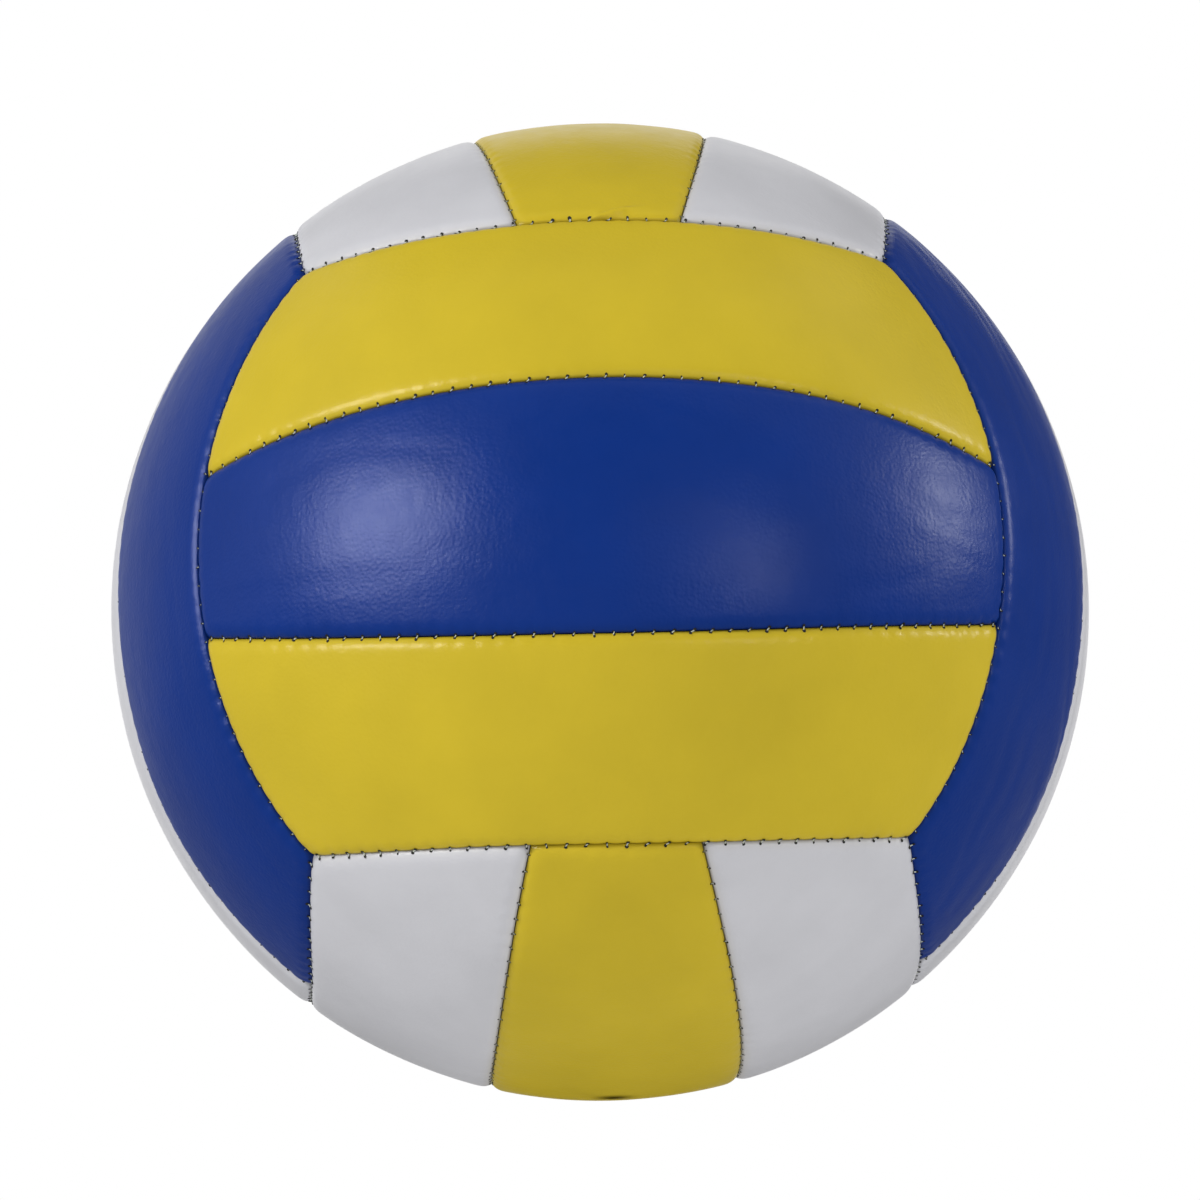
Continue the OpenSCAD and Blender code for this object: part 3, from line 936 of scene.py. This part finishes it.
def makeStitchTree(name, shape, inputs):
    # puts the shape on each point: its Z away from the ball, its X along the seam
    tree, start, end = newTree(name, inputs)
    nodes, links = tree.nodes, tree.links

    def given(label): return Rule(tree, start.outputs[label])

    def chance(shift):
        # from -1 to 1
        value = nodes.new("FunctionNodeRandomValue")
        value.data_type = "FLOAT"
        value.inputs[2].default_value, value.inputs[3].default_value = -1.0, 1.0
        links.new((given("Seed") + shift).socket, value.inputs["Seed"])
        return Rule(tree, value.outputs[1])

    outwards = nodes.new("GeometryNodeInputPosition")
    along = nodes.new("GeometryNodeInputNamedAttribute")
    along.data_type = "FLOAT_VECTOR"
    along.inputs["Name"].default_value = "alongSeam"
    facing = nodes.new("FunctionNodeAxesToRotation")
    facing.primary_axis, facing.secondary_axis = "Z", "X"
    links.new(outwards.outputs[0], facing.inputs["Primary Axis"])
    links.new(along.outputs["Attribute"], facing.inputs["Secondary Axis"])
    twist = nodes.new("FunctionNodeEulerToRotation")
    links.new(joined(tree, 0.0, 0.0, chance(1) * given("Twist")), twist.inputs[0])
    turned = nodes.new("FunctionNodeRotateRotation")
    turned.rotation_space = "LOCAL"
    links.new(facing.outputs[0], turned.inputs["Rotation"])
    links.new(twist.outputs[0], turned.inputs["Rotate By"])
    rows = nodes.new("GeometryNodeInstanceOnPoints")
    links.new(start.outputs["Geometry"], rows.inputs["Points"])
    links.new(shape(tree, given), rows.inputs["Instance"])
    links.new(turned.outputs[0], rows.inputs["Rotation"])
    own = nodes.new("GeometryNodeInputNamedAttribute")
    own.data_type = "FLOAT"
    own.inputs["Name"].default_value = "stitchSize"
    ownSize = Rule(tree, own.outputs["Attribute"])
    length, thickness = ((chance(shift) * given("Spread") + 1.0) * ownSize for shift in (2, 3))
    links.new(joined(tree, length, thickness, thickness), rows.inputs["Scale"])
    finishTree(tree, start, end, rows.outputs[0])
    return tree


def threadShape(tree, given):
    # a short bowed thread from one hole to the other
    nodes, links = tree.nodes, tree.links
    bow = nodes.new("GeometryNodeCurveQuadraticBezier")
    bow.inputs["Resolution"].default_value = stitch["bowSteps"]
    halfSpan, halfSkew = given("Span") * 0.5, given("Skew") * 0.5
    links.new(joined(tree, -halfSkew, -halfSpan, given("Height")), bow.inputs["Start"])
    links.new(joined(tree, 0.0, 0.0, given("Height") - given("Depth") * 2), bow.inputs["Middle"])
    links.new(joined(tree, halfSkew, halfSpan, given("Height")), bow.inputs["End"])
    ring = nodes.new("GeometryNodeCurvePrimitiveCircle")
    ring.inputs["Resolution"].default_value = stitch["threadSides"]
    links.new(given("Radius").socket, ring.inputs["Radius"])
    tube = nodes.new("GeometryNodeCurveToMesh")
    tube.inputs["Fill Caps"].default_value = True
    links.new(bow.outputs[0], tube.inputs["Curve"])
    links.new(ring.outputs[0], tube.inputs["Profile Curve"])
    smooth = nodes.new("GeometryNodeSetShadeSmooth")
    links.new(tube.outputs[0], smooth.inputs["Geometry"])
    return smooth.outputs[0]


def holeShadeShape(tree, given):
    # two small near-black discs, painted shade of the needle holes, each square to the edge that it is in
    nodes, links = tree.nodes, tree.links
    both = nodes.new("GeometryNodeJoinGeometry")
    for side in (1, -1):
        hole = nodes.new("GeometryNodeMeshCylinder")
        hole.inputs["Vertices"].default_value = stitch["holeSides"]
        links.new(given("Radius").socket, hole.inputs["Radius"])
        links.new(given("Depth").socket, hole.inputs["Depth"])
        placed = nodes.new("GeometryNodeTransform")
        links.new(hole.outputs["Mesh"], placed.inputs["Geometry"])
        place = joined(tree, given("Skew") * (0.5 * side), given("Span") * (0.5 * side), given("Height"))
        links.new(place, placed.inputs["Translation"])
        links.new(joined(tree, given("Tilt") * side, 0.0, 0.0), placed.inputs["Rotation"])
        links.new(placed.outputs[0], both.inputs[0])
    return both.outputs[0]


def makeStitches(name, treeName, shape, inputs):
    tree = makeStitchTree(treeName, shape, inputs)
    parts = []
    for kind in ("strip", "face"):
        rows = seamPoints(kind, ball[kind + "Stitches"])
        parts.append(newPiece(name, applyTree(rows, tree, inputs)))
        bpy.data.objects.remove(rows)
    with bpy.context.temp_override(active_object=parts[0], selected_editable_objects=parts):
        bpy.ops.object.join()
    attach(parts[0], "root")
    return parts[0]


sharedInputs = {
    "Skew": stitch["skew"],
    "Twist": stitch["twist"],
    "Spread": stitch["spread"],
    "Seed": stitch["seed"],
}
threads = makeStitches("seam_stitches", "stitchThreads", threadShape, {
    "Radius": stitch["threadRadius"],
    "Span": stitch["span"],
    "Depth": stitch["sag"],
    "Height": edgeHeight(stitch["span"] / 2),
    "Material": insideMaterials["thread"],
    **sharedInputs,
})
# the needle holes' shade is painted on small near-black discs
holes = makeStitches("needle_holes", "stitchHoleShades", holeShadeShape, {
    "Radius": stitch["holeRadius"],
    "Span": stitch["holeSpan"],
    "Depth": stitch["holeDepth"],
    "Height": edgeHeight(stitch["holeSpan"] / 2) - panel["puckerDepth"] * stitch["holeSink"],
    "Tilt": edgeTilt(stitch["holeSpan"] / 2),
    "Material": insideMaterials["needle_hole"],
    **sharedInputs,
})
print("stitches made,", len(threads.data.polygons) + len(holes.data.polygons), "faces")
